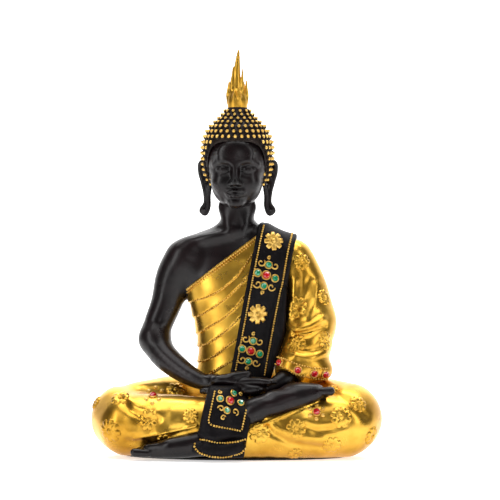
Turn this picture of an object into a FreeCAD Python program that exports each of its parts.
"""Seated Buddha statue, 280 mm tall, as an assembly of glued resin castings and applied trim.

Frame: millimetres, +Z up, the statue faces -Y, and the origin is the centre of the rest face.
The statue's right side is at -X.
"""

import FreeCAD, Part

import math
import os

from FreeCAD import Placement, Rotation, Vector

doc = FreeCAD.newDocument("SeatedBuddha")
sheet = doc.addObject("Spreadsheet::Sheet", "Dimensions")
UP = Vector(0, 0, 1)
FRONT = Vector(0, -1, 0)
known = {}


# ---------------------------------------------------------------- driving dimensions


def cell(alias, value):
    """One driving dimension: a plain number with an alias."""
    place = f"A{len(known) + 1}"
    known[alias] = value
    sheet.set(place, str(value))
    sheet.setAlias(place, alias)


def cells(prefix, keys, values):
    for key, value in zip(keys, values):
        cell(f"{prefix}_{key}", value)


def size(alias):
    return known[alias]


def at(alias):
    """The name of a driving dimension inside an expression."""
    return f"Dimensions.{alias}"


GENERAL = {
    "felt_thickness": 1.0,
    "felt_across": 76.0,
    "felt_deep": 35.0,
    "plug_thickness": 3.0,
    "plug_across": 64.0,
    "plug_deep": 25.0,
    "plug_gap": 0.15,
    "cavity_height": 14.0,
    "cavity_across": 60.0,
    "cavity_deep": 21.0,
    "footprint_y": -4.0,
    "glue_gap": 0.1,
    "robe_thickness": 1.8,
    "robe_seat": 0.05,
    "neckline_angle": 37.0,
    "neckline_x": -35.0,
    "neckline_z": 115.5,
    "spigot_radius": 9.0,
    "spigot_length": 8.0,
    "dowel_radius": 3.0,
    "dowel_length": 24.0,
    "pin_radius": 1.0,
    "pin_length": 22.0,
    "peg_radius": 2.5,
    "peg_length": 12.0,
    "sash_width": 25.0,
    "sash_thickness": 4.5,
    "sash_lean": 10.5,
    "sash_foot_x": 10.0,
    "sash_foot_z": 57.0,
    "sash_end_width": 28.6,
    "sash_end_lean": 11.0,
    "sash_end_foot_x": -9.6,
    "sash_end_foot_z": 12.0,
    "bead_radius": 0.62,
    "bead_pitch": 1.7,
    "row_spacing": 19.0,
    "curl_radius": 1.75,
    "curl_pitch": 4.3,
    "red_gem_radius": 2.6,
    "green_gem_radius": 2.2,
    "bezel_rim": 0.7,
    "bezel_height": 1.0,
    "rosette_thickness": 1.2,
    "wire_radius": 0.45,
    "hem_radius": 1.7,
}

# Horizontal sections of the torso, from the seat to the neck: height, half width, half depth, centre y.
TORSO = {
    "seat": (30.0, 31.0, 23.0, 13.0),
    "hip": (42.0, 30.4, 22.2, 12.9),
    "belly": (56.0, 27.0, 18.6, 11.5),
    "waist": (70.0, 25.6, 17.2, 11.5),
    "rib": (85.0, 27.2, 17.6, 12.0),
    "chest": (101.0, 31.0, 18.8, 12.0),
    "breast": (116.0, 35.5, 19.4, 12.0),
    "armpit": (128.0, 40.0, 18.2, 12.5),
    "shoulder": (139.0, 41.0, 14.8, 13.0),
    "collar": (147.0, 37.5, 12.8, 13.0),
    "nape": (152.5, 29.0, 11.8, 12.6),
    "slope": (156.5, 18.0, 11.6, 12.0),
    "neck": (161.0, 12.8, 12.0, 11.0),
    "throat": (169.0, 11.8, 11.6, 10.0),
    "jaw": (178.0, 11.6, 11.2, 9.4),
}

# Horizontal sections of the hair, from the nape to the crown: height, half width, half depth, centre y.
HAIR = {
    "nape": (184.0, 17.5, 20.0, 13.5),
    "lower": (192.0, 22.4, 24.0, 12.0),
    "side": (201.0, 24.6, 26.2, 11.0),
    "widest": (211.0, 24.8, 26.4, 10.5),
    "brow": (219.0, 23.2, 24.6, 10.5),
    "dome": (226.0, 19.6, 20.4, 10.5),
    "knot": (232.0, 13.6, 14.0, 10.5),
    "crown": (237.5, 8.6, 8.8, 10.5),
    "top": (239.5, 6.6, 6.8, 10.5),
}

# Limbs are runs of round sections: name of the station, x, y, z, radius.
RIGHT_ARM = [
    ("shoulder", -38.5, 13.0, 135.5, 13.0),
    ("deltoid", -44.5, 13.0, 123.0, 12.2),
    ("biceps", -50.0, 12.0, 104.0, 10.8),
    ("above", -56.0, 9.5, 87.5, 10.2),
    ("elbow", -56.5, 5.5, 78.5, 9.9),
    ("below", -50.5, -1.0, 69.5, 9.0),
    ("forearm", -40.5, -9.5, 61.0, 7.9),
    ("lower", -29.5, -17.5, 54.0, 6.6),
    ("wrist", -18.5, -22.5, 50.8, 5.6),
]
SLEEVE = [
    ("shoulder", 38.5, 13.0, 135.5, 13.6),
    ("deltoid", 44.0, 12.5, 122.0, 14.2),
    ("biceps", 48.5, 10.0, 106.0, 15.6),
    ("elbow", 50.5, 5.0, 90.0, 17.2),
    ("forearm", 48.0, -2.0, 76.0, 16.6),
    ("cuff", 43.5, -11.0, 61.5, 16.4),
]
LEFT_FOREARM = [
    ("inner", 41.0, -12.0, 62.0, 6.6),
    ("wrist", 31.0, -21.0, 51.5, 5.8),
    ("heel", 25.0, -23.0, 48.5, 5.4),
]
RIGHT_THIGH = [
    ("hip", -24.0, 18.0, 30.0, 27.0),
    ("middle", -50.0, 6.0, 28.0, 25.5),
    ("knee", -75.0, -9.0, 26.0, 24.5),
]
LEFT_THIGH = [
    ("hip", 24.0, 18.0, 30.0, 27.0),
    ("middle", 50.0, 6.0, 28.5, 26.0),
    ("knee", 75.5, -9.0, 26.5, 25.5),
]
RIGHT_SHIN = [
    ("knee", -73.0, -17.0, 24.5, 23.5),
    ("middle", -38.0, -28.0, 25.0, 20.0),
    ("ankle", 0.0, -34.0, 26.0, 15.0),
]
LEFT_SHIN = [
    ("knee", 74.0, -17.0, 24.5, 24.0),
    ("middle", 38.0, -27.0, 20.5, 20.5),
    ("ankle", 0.0, -32.0, 16.0, 16.0),
]
UPPER_FOOT = [
    ("heel", 15.0, -37.0, 34.0, 11.0),
    ("arch", 30.0, -37.5, 39.0, 9.8),
    ("ball", 46.0, -36.5, 44.0, 7.8),
    ("toes", 60.0, -33.5, 47.5, 5.4),
]
LOWER_FOOT = [
    ("heel", -20.0, -44.0, 11.6, 9.8),
    ("arch", -36.0, -45.5, 9.8, 8.0),
    ("ball", -51.0, -45.0, 8.2, 6.6),
    ("toes", -62.5, -42.5, 7.0, 5.4),
]
EAR = [
    ("top", 24.0, 12.5, 198.5, 2.2),
    ("middle", 21.6, 12.0, 189.0, 2.0),
    ("slit", 20.2, 11.5, 179.0, 1.8),
    ("lobe", 20.6, 11.0, 169.0, 2.4),
]
MAIN_FLAME = [
    ("root", 0.0, 10.5, 238.0, 6.6),
    ("cup", 0.0, 10.5, 244.0, 6.6),
    ("lip", -0.2, 10.5, 249.5, 4.4),
    ("waist", -0.5, 10.5, 256.0, 2.8),
    ("neck", -0.2, 10.5, 267.0, 1.9),
    ("tip", 0.8, 10.5, 279.2, 0.6),
]
# Flame tongues beside the main one: root x and y, tip x, y and z.
TONGUES = {
    "outer_right": (-4.8, 0.0, -5.9, 0.4, 257.5),
    "inner_right": (-3.2, -1.5, -3.0, -1.0, 267.5),
    "inner_left": (3.2, -1.0, 3.9, -1.2, 267.0),
    "outer_left": (4.8, 0.0, 6.6, 0.0, 258.5),
    "front": (0.4, -4.2, 0.9, -4.0, 254.0),
    "back": (0.0, 4.2, 0.2, 4.0, 262.0),
}

# The strap's own side outline: distance behind the front, and height, along its outer face.
SASH_LINE = [(-14.5, 49.5), (-12.5, 72.0), (-13.0, 100.0), (-13.6, 118.0), (-10.5, 138.0)]
SASH_BACK_LINE = [(30.0, 142.0), (36.5, 122.0), (36.0, 100.0), (34.0, 70.0)]
SASH_TOP = (9.0, 158.5)
SASH_END_LINE = [(-26.0, 51.0), (-38.0, 48.5), (-49.0, 41.0), (-54.5, 26.0), (-55.5, 12.0)]

FLAME_ROOT_Z = 240.0

# Trim places, as seen from the front: x, z, radius of the rosette.
SASH_ROSETTES = [(25.8, 148.0, 7.0), (15.4, 97.8, 7.3)]
LEG_ROSETTES = [
    (-85.0, 19.5, 8.8),
    (-56.8, 26.4, 7.6),
    (-29.5, 32.0, 6.5),
    (-45.5, 15.5, 5.4),
    (-77.0, 41.0, 6.2),
    (-44.0, 46.0, 6.8),
    (-95.5, 35.0, 5.2),
    (16.8, 16.5, 6.6),
    (42.0, 24.5, 7.4),
    (42.0, 7.5, 5.6),
    (69.5, 12.0, 6.6),
    (73.5, 29.5, 8.0),
    (85.5, 38.0, 6.4),
    (93.0, 15.0, 6.8),
]
SLEEVE_ROSETTES = [
    (43.5, 130.0, 5.6),
    (42.0, 102.0, 8.0),
    (60.5, 108.0, 5.6),
    (41.5, 79.6, 6.8),
    (61.0, 80.0, 6.0),
]
# Gem groups on the strap and its end: centre x, z of the red stone.
SASH_GEM_GROUPS = [(21.0, 124.6), (10.5, 72.6)]
SASH_END_GEM_GROUP = (-4.4, 39.0)
LEG_GEMS = [(-55.0, 42.5), (57.0, 33.0)]
CUFF_GEMS = [(31.5, 64.0), (43.5, 58.6), (54.5, 57.0)]

for alias, value in GENERAL.items():
    cell(alias, value)
for name, values in TORSO.items():
    cells(f"torso_{name}", ("height", "across", "deep", "y"), values)
for name, values in HAIR.items():
    cells(f"hair_{name}", ("height", "across", "deep", "y"), values)
RUNS = {
    "right_arm": RIGHT_ARM,
    "sleeve": SLEEVE,
    "left_forearm": LEFT_FOREARM,
    "right_thigh": RIGHT_THIGH,
    "left_thigh": LEFT_THIGH,
    "right_shin": RIGHT_SHIN,
    "left_shin": LEFT_SHIN,
    "upper_foot": UPPER_FOOT,
    "lower_foot": LOWER_FOOT,
    "ear": EAR,
    "flame": MAIN_FLAME,
}
for run, stations in RUNS.items():
    for name, *values in stations:
        cells(f"{run}_{name}", ("x", "y", "z", "radius"), values)


# ---------------------------------------------------------------- building blocks


def bind(item, formulas):
    for prop, formula in formulas.items():
        item.setExpression(prop, formula)
    return item


def place(item, x, y, z):
    """Binds an object's position to three formulas."""
    return bind(item, {"Placement.Base.x": x, "Placement.Base.y": y, "Placement.Base.z": z})


def loft(label, sections):
    made = doc.addObject("Part::Loft", label)
    made.Sections = sections
    made.Solid = True
    made.Ruled = False
    return made


def stack(label, prefix, names, grow="0"):
    """A loft of horizontal ellipses, each larger than its driving section by the formula grow."""
    sections = []
    for name in names:
        alias = at(f"{prefix}_{name}")
        ring = doc.addObject("Part::Ellipse", f"{label}_{name}")
        wide = size(f"{prefix}_{name}_across") >= size(f"{prefix}_{name}_deep")
        major, minor = ("across", "deep") if wide else ("deep", "across")
        bind(ring, {"MajorRadius": f"{alias}_{major} + {grow}", "MinorRadius": f"{alias}_{minor} + {grow}"})
        ring.Placement = Placement(Vector(), Rotation(UP, 0 if wide else 90))
        sections.append(place(ring, "0", f"{alias}_y", f"{alias}_height"))
    return loft(label, sections)


ROUNDING = ((0.985, 0.17), (0.86, 0.51), (0.55, 0.835))


def limb(label, run, names, mirror=1, grow="0", round_start=True, round_end=True):
    """A loft of circles along a run of stations, with rounded ends. mirror -1 puts it on the other side."""
    spots = [Vector(mirror * size(f"{run}_{n}_x"), size(f"{run}_{n}_y"), size(f"{run}_{n}_z")) for n in names]
    last = len(names) - 1
    sections = []

    def ring(name, direction, back=0.0, share=1.0):
        alias = at(f"{run}_{name}")
        made = doc.addObject("Part::Circle", f"{label}_{name}_section")
        made.Placement = Placement(Vector(), Rotation(UP, direction))
        shift = [f"({step:.6f}) * ({alias}_radius + {grow}) * {back}" for step in direction]
        bind(made, {"Radius": f"({alias}_radius + {grow}) * {share}"})
        place(
            made,
            f"{mirror} * {alias}_x + {shift[0]}",
            f"{alias}_y + {shift[1]}",
            f"{alias}_z + {shift[2]}",
        )
        sections.append(made)

    for i, name in enumerate(names):
        direction = spots[min(i + 1, last)] - spots[max(i - 1, 0)]
        direction.normalize()
        if i == 0 and round_start:
            for back, share in ROUNDING:
                ring(name, direction, -back, share)
        ring(name, direction)
        if i == last and round_end:
            for back, share in reversed(ROUNDING):
                ring(name, direction, back, share)
    return loft(label, sections)


def names_of(stations):
    return [station[0] for station in stations]


def ellipsoid(label, centre, radii, seam_across=False):
    """Half sizes are along X, Y and Z. The surface's seam faces +X, or +Y when seam_across is set."""
    made = doc.addObject("Part::Ellipsoid", label)
    along_x, along_y, along_z = radii
    across, deep = (along_y, along_x) if seam_across else (along_x, along_y)
    made.Radius1, made.Radius2, made.Radius3 = along_z, across, deep
    made.Placement = Placement(Vector(*centre), Rotation(UP, 90 if seam_across else 0))
    return made


def rod(label, radius, length, start, direction=UP):
    """A cylinder whose radius and length are formulas."""
    made = doc.addObject("Part::Cylinder", label)
    bind(made, {"Radius": radius, "Height": length})
    made.Placement = Placement(Vector(*start), Rotation(UP, Vector(*direction)))
    return made


def fuse(label, *shapes):
    made = doc.addObject("Part::MultiFuse", label)
    made.Shapes = list(shapes)
    return made


def cut(label, base, *tools):
    """base without each tool in turn."""
    for i, tool in enumerate(tools):
        made = doc.addObject("Part::Cut", label if i == len(tools) - 1 else f"{label}_step")
        made.Base, made.Tool = base, tool
        base = made
    return base


def common(label, a, b):
    made = doc.addObject("Part::Common", label)
    made.Base, made.Tool = a, b
    return made


def big_box(label, corner, sides, turn=0.0, pivot=(0.0, 0.0, 0.0)):
    """A box turned about the Y axis through pivot."""
    made = doc.addObject("Part::Box", label)
    made.Length, made.Width, made.Height = sides
    spin = Placement(Vector(), Rotation(Vector(0, 1, 0), turn), Vector(*pivot))
    made.Placement = spin.multiply(Placement(Vector(*corner), Rotation()))
    return made


# ---------------------------------------------------------------- castings

HUGE = 400.0
parts = {}


def slab(label, across, deep, thickness, z, grow="0"):
    """An elliptical plate lying flat, its sizes given as sheet names."""
    ring = doc.addObject("Part::Ellipse", f"{label}_outline")
    bind(ring, {"MajorRadius": f"{at(across)} + {grow}", "MinorRadius": f"{at(deep)} + {grow}"})
    place(ring, "0", at("footprint_y"), z)
    made = doc.addObject("Part::Extrusion", label)
    made.Base = ring
    made.DirMode = "Custom"
    made.Dir = UP
    made.Solid = True
    bind(made, {"LengthFwd": thickness})
    return made


def free_limb(label, points):
    """A small limb whose stations are given where it is used."""
    names = list("abcdef"[: len(points)])
    for name, values in zip(names, points):
        cells(f"{label}_{name}", ("x", "y", "z", "radius"), [round(value, 3) for value in values])
    return limb(label, label, names)


def hand(label, towards, palm, reach, thumb):
    """A relaxed hand, palm up, its fingers pointing along X the way towards says."""
    x, y, z = palm
    pieces = [ellipsoid(f"{label}_palm", palm, (14.0, 9.2, 4.5), True), free_limb(f"{label}_thumb", thumb)]
    for i, extent in enumerate(reach):
        finger_y = y - 6.4 + 4.3 * i
        points = [
            (x + towards * 5.0, finger_y, z, 2.7),
            (x + towards * extent * 0.6, finger_y - 0.6, z + 0.5, 2.4),
            (x + towards * extent, finger_y, z + 1.4, 1.9),
        ]
        pieces.append(free_limb(f"{label}_finger_{i + 1}", points))
    return fuse(f"{label}_form", *pieces)


def foot(label, run, toe_step):
    """A bare foot: the run of its sole and five toes side by side across its end."""
    stations = names_of(RUNS[run])
    sole = limb(f"{label}_sole", run, stations)
    end = Vector(*[size(f"{run}_toes_{axis}") for axis in "xyz"])
    ball = Vector(*[size(f"{run}_ball_{axis}") for axis in "xyz"])
    along = (end - ball).normalize()
    toes = []
    for i in range(5):
        start = end + Vector(*toe_step) * (i - 2)
        tip = start + along * (5.6 - 0.6 * i)
        radius = 2.6 - 0.22 * i
        toes.append(free_limb(f"{label}_toe_{i + 1}", [(*start, radius), (*tip, radius - 0.2)]))
    return fuse(f"{label}_form", sole, *toes)


def strap(label, outline, width, foot_x, foot_z, lean):
    """A flat strap: its side outline padded across its width and leaned sideways about its foot."""
    body = doc.addObject("PartDesign::Body", label)
    sketch = body.newObject("Sketcher::SketchObject", f"{label}_outline")
    plane = [item for item in body.Origin.OriginFeatures if item.Role == "YZ_Plane"][0]
    sketch.AttachmentSupport = [(plane, "")]
    sketch.MapMode = "FlatFace"
    for line in outline:
        points = [Vector(y, z - size(foot_z), 0) for y, z in line]
        if len(points) == 2:
            sketch.addGeometry(Part.LineSegment(*points), False)
        else:
            curve = Part.BSplineCurve()
            curve.interpolate(points)
            sketch.addGeometry(curve, False)
    pad = body.newObject("PartDesign::Pad", f"{label}_pad")
    pad.Profile = sketch
    pad.Midplane = True
    bind(pad, {"Length": at(width)})
    body.Tip = pad
    body.Placement = Placement(Vector(), Rotation(Vector(0, 1, 0), size(lean)))
    place(body, at(foot_x), "0", at(foot_z))
    return body


felt_z = size("felt_thickness")
hollow_z = felt_z + size("plug_thickness")
parts["felt_pad"] = slab("felt_pad", "felt_across", "felt_deep", at("felt_thickness"), "0")
parts["base_plug"] = slab("base_plug", "plug_across", "plug_deep", at("plug_thickness"), at("felt_thickness"))
rebate_depth = f"{at('plug_thickness')} + {at('plug_gap')}"
rebate = slab("plug_rebate", "plug_across", "plug_deep", rebate_depth, at("felt_thickness"), at("plug_gap"))
hollow = slab("hollow", "cavity_across", "cavity_deep", at("cavity_height"), str(hollow_z))
under = big_box("under_table", (-HUGE / 2, -HUGE / 2, felt_z - HUGE), (HUGE, HUGE, HUGE))

# Legs: two crossed limbs under the robe, with the seat and the lap between them.
right_thigh_form = limb("right_thigh_form", "right_thigh", names_of(RIGHT_THIGH))
right_shin_form = limb("right_shin_form", "right_shin", names_of(RIGHT_SHIN))
left_thigh_form = limb("left_thigh_form", "left_thigh", names_of(LEFT_THIGH))
left_shin_form = limb("left_shin_form", "left_shin", names_of(LEFT_SHIN))
seat_form = ellipsoid("seat_form", (0.0, 19.0, 27.0), (50.0, 26.0, 27.0))
lap_form = ellipsoid("lap_form", (0.0, -4.0, 18.0), (62.0, 34.0, 24.0))
LEG_FORMS = (right_thigh_form, right_shin_form, left_thigh_form, left_shin_form, seat_form, lap_form)

# Torso and the robe over it.
torso_form = stack("torso_form", "torso", list(TORSO))
robed = list(TORSO)[: list(TORSO).index("nape") + 1]
robe_form = stack("robe_form", "torso", robed, at("robe_thickness"))
robe_inside = stack("robe_inside", "torso", robed, at("robe_seat"))
neckline = (size("neckline_x"), 0.0, size("neckline_z"))
above_neckline = big_box(
    "above_neckline",
    (-HUGE, -HUGE / 2, size("neckline_z")),
    (2 * HUGE, HUGE, HUGE),
    -size("neckline_angle"),
    neckline,
)
spigot_start = (0, 13.0, size("torso_seat_height") + 1 - size("spigot_length"))
spigot = rod("seat_spigot", at("spigot_radius"), at("spigot_length"), spigot_start)
glued_spigot = f"{at('spigot_radius')} + {at('glue_gap')}"
spigot_hole = rod("seat_socket", glued_spigot, f"{at('spigot_length')} + {at('glue_gap')}", spigot_start)

seat_outline = doc.addObject("Part::Ellipse", "seat_socket_outline")
seat_gap = f"{at('robe_thickness')} + {at('glue_gap')}"
bind(
    seat_outline,
    {"MajorRadius": f"{at('torso_seat_across')} + {seat_gap}", "MinorRadius": f"{at('torso_seat_deep')} + {seat_gap}"},
)
place(seat_outline, "0", at("torso_seat_y"), at("torso_seat_height"))
seat_socket = doc.addObject("Part::Extrusion", "seat_socket")
seat_socket.Base = seat_outline
seat_socket.DirMode = "Custom"
seat_socket.Dir = UP
seat_socket.Solid = True
seat_socket.LengthFwd = HUGE / 4

# Arms.
right_arm_form = limb("right_arm_form", "right_arm", names_of(RIGHT_ARM))
right_hand = hand(
    "right_hand",
    1,
    (-3.0, -24.6, 52.4),
    (29.0, 32.0, 30.0, 25.0),
    [(-10.0, -27.5, 53.0, 3.4), (1.0, -29.0, 56.8, 2.9), (11.4, -27.0, 59.0, 2.2)],
)
left_hand_form = hand(
    "left_hand",
    -1,
    (9.0, -25.6, 46.4),
    (24.0, 27.0, 25.5, 21.0),
    [(20.0, -27.5, 49.0, 3.6), (20.5, -29.0, 54.6, 2.9), (16.6, -27.0, 58.8, 2.2)],
)
left_forearm = limb("left_forearm_form", "left_forearm", names_of(LEFT_FOREARM))
sleeve_form = limb("sleeve_form", "sleeve", names_of(SLEEVE), round_end=False)

# Head: skull, face and long ears.
face_forms = [
    ellipsoid("skull_form", (0.0, 10.0, 207.0), (21.8, 23.6, 23.6)),
    ellipsoid("face_form", (0.0, 5.5, 194.5), (18.9, 18.6, 24.0)),
    ellipsoid("jaw_form", (0.0, -0.6, 181.6), (13.2, 12.4, 11.4)),
    free_limb("nose_form", [(0.0, -11.8, 201.0, 1.5), (0.0, -13.4, 193.5, 1.8), (0.0, -14.6, 188.4, 2.3)]),
    ellipsoid("upper_lip_form", (0.0, -11.6, 181.9), (5.0, 2.6, 1.3)),
    ellipsoid("lower_lip_form", (0.0, -11.4, 179.4), (3.9, 2.6, 1.4)),
]
for side, mirror in (("right", -1), ("left", 1)):
    face_forms.append(limb(f"{side}_ear_form", "ear", names_of(EAR), mirror))
    face_forms.append(ellipsoid(f"{side}_ear_root", (mirror * 20.0, 12.0, 195.0), (4.6, 3.6, 7.0)))
    face_forms.append(ellipsoid(f"{side}_eyelid", (mirror * 7.4, -9.2, 197.4), (4.6, 3.2, 2.3)))
    face_forms.append(ellipsoid(f"{side}_nostril", (mirror * 2.4, -12.8, 187.6), (1.8, 2.2, 1.5)))
head_form = fuse("head_form", *face_forms)
hair_form = stack("hair_form", "hair", list(HAIR))
face_opening = fuse(
    "face_opening",
    ellipsoid("brow_arch", (0.0, -16.0, 197.0), (20.6, 24.0, 19.6)),
    big_box("under_brow_arch", (-20.6, -40.0, 160.0), (41.2, 48.0, 37.0)),
)

AXIS_Y = 10.5
tongues = []
for name, (x, y, tip_x, tip_y, tip_z) in TONGUES.items():
    start = Vector(x, AXIS_Y + y, FLAME_ROOT_Z)
    way = Vector(tip_x, AXIS_Y + tip_y, tip_z) - start
    tongue = doc.addObject("Part::Cone", f"tongue_{name}")
    tongue.Radius1, tongue.Radius2, tongue.Height = 2.6, 0.35, way.Length
    tongue.Placement = Placement(start, Rotation(UP, way))
    tongues.append(tongue)
main_flame = limb("main_flame", "flame", names_of(MAIN_FLAME))

# Feet.
right_foot_form = foot("right_foot", "upper_foot", (0.0, 1.6, -3.2))
left_foot_form = foot("left_foot", "lower_foot", (0.0, 3.0, 1.0))
behind_foot = big_box("behind_foot", (-HUGE, -43.2, -HUGE), (2 * HUGE, HUGE, 2 * HUGE), 0.0)

# Dowels, pegs and the pin.
DOWEL_Z, PIN_Z = 166.0, 224.0
PEG_START = (-30.0, 13.0, 130.0)


def glued(label, radius, length, start, direction=UP):
    """A rod and the slightly larger hole it is glued into."""
    rod_made = rod(label, at(radius), at(length), start, direction)
    gap = at("glue_gap")
    begin = Vector(*start) - Vector(*direction) * size("glue_gap")
    hole = rod(f"{label}_hole", f"{at(radius)} + {gap}", f"{at(length)} + 2 * {gap}", begin, direction)
    return rod_made, hole


neck_dowel, dowel_hole = glued("neck_dowel", "dowel_radius", "dowel_length", (0, AXIS_Y, DOWEL_Z))
finial_pin, pin_hole = glued("finial_pin", "pin_radius", "pin_length", (0, AXIS_Y, PIN_Z))
arm_peg, arm_peg_hole = glued("right_arm_peg", "peg_radius", "peg_length", PEG_START, (-1, 0, 0))
parts["neck_dowel"] = neck_dowel
parts["finial_pin"] = finial_pin
parts["right_arm_peg"] = arm_peg

# ---------------------------------------------------------------- straps


def shifted(line, depth):
    """The same side line, depth further in from the outer face."""
    return [(y + depth, z) for y, z in line]


outer = SASH_LINE + [SASH_TOP] + SASH_BACK_LINE
SASH_DEPTH = 12.0
inner_front = [(y + SASH_DEPTH, z) for y, z in SASH_LINE[:-1]]
inner = inner_front + [(2.0, 132.0), (14.0, 140.0), (24.0, 130.0)]
inner += [(y - SASH_DEPTH, z) for y, z in SASH_BACK_LINE[1:]]
sash_outline = [outer, [outer[-1], inner[-1]], inner[::-1], [inner[0], outer[0]]]
sash_form = strap("sash_form", sash_outline, "sash_width", "sash_foot_x", "sash_foot_z", "sash_lean")

end_inner = [(y + 14.0, z - 5.0) for y, z in SASH_END_LINE[:-1]] + [(-40.0, 6.0)]
sash_end_outline = [SASH_END_LINE, [SASH_END_LINE[-1], end_inner[-1]], end_inner[::-1], [end_inner[0], SASH_END_LINE[0]]]
sash_end_form = strap(
    "sash_end_form", sash_end_outline, "sash_end_width", "sash_end_foot_x", "sash_end_foot_z", "sash_end_lean"
)
hem_roll = free_limb("sash_end_roll", [(-24.0, -51.0, 10.0, 4.4), (-11.0, -52.6, 8.6, 4.8), (2.0, -51.6, 9.2, 4.2)])

# ---------------------------------------------------------------- the castings trimmed to each other

sleeve_end = Vector(*[size(f"sleeve_cuff_{axis}") for axis in "xyz"])
sleeve_way = (sleeve_end - Vector(*[size(f"sleeve_forearm_{axis}") for axis in "xyz"])).normalize()
hem_ring = doc.addObject("Part::Torus", "hem_ring")
bind(hem_ring, {"Radius1": at("sleeve_cuff_radius") + " - 1", "Radius2": at("hem_radius")})
hem_ring.Placement = Placement(sleeve_end + sleeve_way * (size("hem_radius") + 0.05), Rotation(UP, sleeve_way))

leg_tools = (under, hollow, rebate, seat_socket, spigot_hole)
carved = [cut(f"{form.Label}_carved", form, *leg_tools) for form in LEG_FORMS]
parts["legs_casting"] = fuse("legs_casting", *carved)
parts["torso_casting"] = cut("torso_casting", fuse("torso_and_spigot", torso_form, spigot), dowel_hole, arm_peg_hole)
parts["robe_bodice"] = cut("robe_bodice", robe_form, robe_inside, above_neckline)
right_arm_whole = fuse("right_arm_and_hand", right_arm_form, right_hand)
right_lap = (right_thigh_form, right_shin_form, lap_form)
left_lap = (left_thigh_form, left_shin_form, lap_form)
parts["right_arm"] = cut("right_arm", right_arm_whole, torso_form, robe_form, arm_peg_hole, *right_lap)
left_hand_whole = fuse("left_hand_and_wrist", left_hand_form, left_forearm)
parts["left_hand"] = cut("left_hand", left_hand_whole, right_hand, *left_lap)
parts["left_sleeve"] = cut("left_sleeve", sleeve_form, robe_form, left_forearm, *left_lap)
parts["sleeve_hem"] = cut("sleeve_hem", hem_ring, left_forearm, robe_form, *left_lap)
parts["head_casting"] = cut("head_casting", head_form, torso_form, dowel_hole, pin_hole)
hair_tools = (*face_forms, face_opening, torso_form, pin_hole)
parts["hair_cap"] = cut("hair_cap", hair_form, *hair_tools)
flame_form = fuse("flame_form", main_flame, *tongues)
parts["flame_finial"] = cut("flame_finial", flame_form, hair_form, pin_hole)
parts["right_foot"] = cut("right_foot", right_foot_form, *left_lap, right_shin_form)
parts["left_foot"] = cut("left_foot", left_foot_form, behind_foot)
hands = (right_hand, left_hand_form)
parts["shoulder_sash"] = cut("shoulder_sash", sash_form, robe_form, sleeve_form, lap_form, *hands, torso_form)
sash_end_whole = fuse("sash_end_and_roll", sash_end_form, hem_roll)
parts["sash_end"] = cut(
    "sash_end",
    sash_end_whole,
    lap_form,
    right_shin_form,
    left_shin_form,
    *hands,
    right_arm_form,
    right_foot_form,
    left_foot_form,
)

# ---------------------------------------------------------------- applied trim

CLEAR = 0.03
CELL = 2.0
doc.recompute()


def skin(shape):
    """The triangles of a shape's skin, sorted by where they lie as seen from the front."""
    points, triangles = shape.tessellate(0.1)
    cells_of = {}
    for corners in triangles:
        a, b, c = (points[i] for i in corners)
        spread = (b.x - a.x) * (c.z - a.z) - (c.x - a.x) * (b.z - a.z)
        if abs(spread) < 1e-9:
            continue
        for i in range(int(min(a.x, b.x, c.x) // CELL), int(max(a.x, b.x, c.x) // CELL) + 1):
            for k in range(int(min(a.z, b.z, c.z) // CELL), int(max(a.z, b.z, c.z) // CELL) + 1):
                cells_of.setdefault((i, k), []).append((a, b, c, spread))
    return cells_of


skins = {}


def look(shape, x, z):
    """The foremost point of a shape at x and z, and the way its skin faces there."""
    key = shape.hashCode()
    if key not in skins:
        skins[key] = skin(shape)
    best = None
    for a, b, c, spread in skins[key].get((int(x // CELL), int(z // CELL)), []):
        u = ((x - a.x) * (c.z - a.z) - (c.x - a.x) * (z - a.z)) / spread
        v = ((b.x - a.x) * (z - a.z) - (x - a.x) * (b.z - a.z)) / spread
        if u >= 0 and v >= 0 and u + v <= 1:
            y = a.y + u * (b.y - a.y) + v * (c.y - a.y)
            if best is None or y < best[0].y:
                way = (b - a).cross(c - a).normalize()
                best = (Vector(x, y, z), -way if way.y > 0 else way)
    return best


def group(label, solids):
    """Many small identical solids as one sub-part."""
    made = doc.addObject("Part::Feature", label)
    made.Shape = Part.makeCompound(solids)
    made.Placement = Placement()
    parts[label] = made
    return made


def along(points, pitch):
    """Evenly spaced points along a run of straight lines in x and z."""
    spots = []
    for (x0, z0), (x1, z1) in zip(points, points[1:]):
        count = max(1, round(math.hypot(x1 - x0, z1 - z0) / pitch))
        spots += [(x0 + (x1 - x0) * i / count, z0 + (z1 - z0) * i / count) for i in range(count)]
    return spots + [points[-1]]


def beads(shape, points):
    """Round beads glued along a line on the front of a shape."""
    radius = size("bead_radius")
    made = []
    for x, z in along(points, size("bead_pitch")):
        seen = look(shape, x, z)
        if seen:
            made.append(Part.makeSphere(radius, seen[0] + seen[1] * (radius + CLEAR)))
    return made


def rosette(shape, x, z, radius):
    """An eight-petalled flower in low relief, standing on the front of a shape."""
    spot, way = look(shape, x, z)
    turn = Rotation(UP, way)
    petal, arcs = math.pi / 4, []
    for i in range(8):
        a, b, c = petal * i, petal * (i + 0.5), petal * (i + 1)
        ends = [Vector(math.cos(t), math.sin(t), 0) * radius * share for t, share in ((a, 0.82), (b, 1.0), (c, 0.82))]
        arcs.append(Part.Arc(*ends).toShape())
    flower = Part.Face(Part.Wire(arcs)).extrude(Vector(0, 0, size("rosette_thickness")))
    flower.Placement = Placement(spot + way * CLEAR, turn)
    return flower


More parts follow.
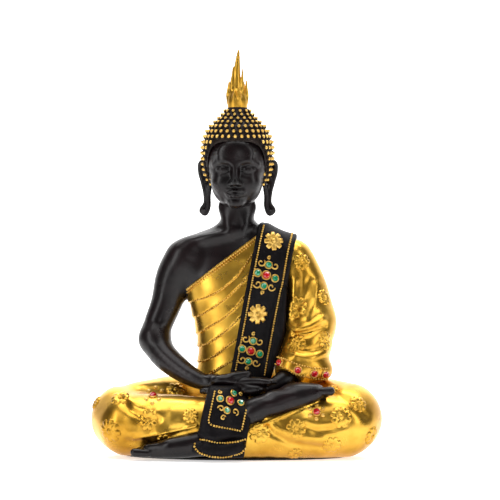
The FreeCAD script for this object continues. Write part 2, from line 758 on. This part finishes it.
def gem(shape, x, z, radius, lift=0.0):
    """A cut stone and the ring that holds it, standing on the front of a shape."""
    spot, way = look(shape, x, z)
    base = spot + way * (CLEAR + lift)
    rim, height = size("bezel_rim"), size("bezel_height")
    stone = Part.makeCone(radius, radius * 0.55, height * 1.7, base, way)
    ring = Part.makeCylinder(radius + rim, height, base, way)
    ring = ring.cut(Part.makeCylinder(radius + CLEAR, 3 * height, base - way, way))
    return stone, ring


def leaned(foot_x, foot_z, lean, across, up):
    """Front-view place of a point on a leaning strap, from its middle line and its foot."""
    turn = math.radians(lean)
    return (
        foot_x + across * math.cos(turn) + up * math.sin(turn),
        foot_z - across * math.sin(turn) + up * math.cos(turn),
    )


sash = parts["shoulder_sash"].Shape
sash_place = (size("sash_foot_x"), size("sash_foot_z"), size("sash_lean"))
SASH_EDGE, SASH_RUN = 9.2, (4.0, 92.0)
sash_beads = []
for across in (-SASH_EDGE, SASH_EDGE):
    sash_beads += beads(sash, [leaned(*sash_place, across, up) for up in SASH_RUN])
group("sash_bead_rows", sash_beads)

sash_end = parts["sash_end"].Shape
end_place = (size("sash_end_foot_x"), size("sash_end_foot_z"), size("sash_end_lean"))
END_EDGE, END_BOTTOM, END_TOP = 11.2, 9.6, 32.0
end_corners = ((-END_EDGE, END_TOP), (-END_EDGE, END_BOTTOM), (END_EDGE, END_BOTTOM), (END_EDGE, END_TOP))
HEM_LINE = [(-22.0, 15.4), (-9.7, 13.8), (4.6, 14.6)]
border = beads(sash_end, [leaned(*end_place, across, up) for across, up in end_corners])
group("sash_end_bead_rows", border + beads(sash_end, HEM_LINE))

RED, GREEN = size("red_gem_radius"), size("green_gem_radius")
GREENS_AROUND = ((1.5, 7.1), (-5.9, 1.6), (5.9, -2.4), (-1.9, -7.4))
reds, greens, rings = [], [], []
for x, z in SASH_GEM_GROUPS:
    stone, ring = gem(sash, x, z, RED)
    reds.append(stone)
    rings.append(ring)
    for dx, dz in GREENS_AROUND:
        stone, ring = gem(sash, x + dx, z + dz, GREEN)
        greens.append(stone)
        rings.append(ring)
stone, ring = gem(sash_end, *SASH_END_GEM_GROUP, RED)
reds.append(stone)
rings.append(ring)
END_GREENS_AROUND = ((-6.4, 1.5), (6.4, -1.7), (-1.8, -6.4))
for dx, dz in END_GREENS_AROUND:
    stone, ring = gem(sash_end, SASH_END_GEM_GROUP[0] + dx, SASH_END_GEM_GROUP[1] + dz, GREEN)
    greens.append(stone)
    rings.append(ring)
group("sash_red_gems", reds)
group("sash_green_gems", greens)
group("gem_bezels", rings)
group("sash_rosettes", [rosette(sash, *values) for values in SASH_ROSETTES])


def nearest(shapes, x, z):
    """Which of several shapes is foremost at x and z."""
    hits = [(look(shape, x, z), shape) for shape in shapes]
    hits = [(seen[0].y, shape) for seen, shape in hits if seen]
    return min(hits, key=lambda hit: hit[0])[1]


leg_shapes = [form.Shape for form in LEG_FORMS]
group("leg_rosettes", [rosette(nearest(leg_shapes, x, z), x, z, radius) for x, z, radius in LEG_ROSETTES])
sleeve = parts["left_sleeve"].Shape
group("sleeve_rosettes", [rosette(sleeve, *values) for values in SLEEVE_ROSETTES])
leg_stones = [gem(nearest(leg_shapes, x, z), x, z, RED) for x, z in LEG_GEMS]
cuff_stones = [gem(sleeve, x + 2.0, z + 8.0, RED) for x, z in CUFF_GEMS]
group("robe_red_gems", [stone for stone, ring in leg_stones + cuff_stones])
group("robe_gem_bezels", [ring for stone, ring in leg_stones + cuff_stones])

PLEATS = [
    [(-30.2, 106.5), (-23.5, 108.0), (-16.8, 110.9), (-9.1, 115.2), (0.5, 123.4), (6.3, 131.5), (10.1, 138.2)],
    [(-28.3, 95.5), (-23.5, 97.4), (-13.9, 103.2), (-4.3, 110.4), (2.4, 117.1), (7.4, 123.8)],
    [(-25.0, 84.7), (-18.7, 88.8), (-9.1, 94.5), (-1.4, 100.8), (4.1, 108.5)],
    [(-24.6, 75.3), (-18.7, 77.7), (-11.0, 83.0), (-4.3, 88.3), (0.3, 94.1)],
    [(-24.6, 64.3), (-18.7, 66.7), (-11.0, 71.5), (-3.6, 77.7)],
    [(-19.2, 56.5), (-13.0, 59.5), (-5.6, 63.8)],
]
bodice = robe_form.Shape
group("pleat_bead_rows", [bead for line in PLEATS for bead in beads(bodice, line)])
group("neckline_beads", beads(bodice, [(-33.5, 114.6), (13.0, 149.6)]))
CUFF_LINE = [(30.5, 72.0), (40.0, 66.5), (50.0, 63.0), (58.0, 62.0)]
group("cuff_bead_rows", beads(sleeve, CUFF_LINE))

# Curls stand in level rows round the cap, left out where the face opens.
curl, curl_step = size("curl_radius"), size("curl_pitch")
hair_levels = sorted((size(f"hair_{name}_height"), name) for name in HAIR)


def hair_section(z):
    """Half width, half depth and centre of the hair at a height, between its driving sections."""
    for (low, below), (high, above) in zip(hair_levels, hair_levels[1:]):
        if z <= high:
            share = (z - low) / (high - low)
            return [
                size(f"hair_{below}_{key}") * (1 - share) + size(f"hair_{above}_{key}") * share
                for key in ("across", "deep", "y")
            ]


curls = []
CURL_LEVELS = [188.0 + 4.2 * i for i in range(12)]
for row, z in enumerate(CURL_LEVELS):
    across, deep, middle = hair_section(z)
    count = round(math.pi * (across + deep) / curl_step)
    for i in range(count):
        angle = 2 * math.pi * (i + 0.5 * (row % 2)) / count
        x, y = across * math.cos(angle), middle + deep * math.sin(angle)
        if y < 6.0 and z < 219.0 or y < 16.0 and z < 201.0:
            continue
        rise = (hair_section(z - 1)[0] - hair_section(min(z + 1, 239.4))[0]) / 2
        way = Vector(math.cos(angle) / across * 20, math.sin(angle) / deep * 20, rise).normalize()
        curls.append(Part.makeCone(curl, 0.5, 2.2, Vector(x, y, z) + way * 0.3, way))
group("hair_curls", curls)

# Four curled wires round each group of stones on the strap.
SCROLLS_AROUND = ((-5.2, 8.8), (7.2, 5.4), (-6.8, -5.4), (4.8, -9.0))
SCROLL_RADIUS, WIRE_CLEAR = 2.2, 0.1
wire = size("wire_radius")
scrolls = []
for x, z in SASH_GEM_GROUPS:
    for dx, dz in SCROLLS_AROUND:
        spot, way = look(sash, x + dx, z + dz)
        scrolls.append(Part.makeTorus(SCROLL_RADIUS, wire, spot + way * (wire + WIRE_CLEAR), way))
group("sash_scrollwork", scrolls)

# ---------------------------------------------------------------- checks and export

doc.recompute()
troubles = [item.Label for item in doc.Objects if "Invalid" in item.State or "Error" in item.State]
for name, part in parts.items():
    part.Label = name
    if part.Shape.isNull() or not part.Shape.isValid() or not part.Shape.Solids:
        troubles.append(name)
if troubles:
    raise ValueError("these did not build: " + ", ".join(sorted(set(troubles))))

os.makedirs("parts", exist_ok=True)
for name, part in parts.items():
    part.Shape.exportStep(f"parts/{name}.step")
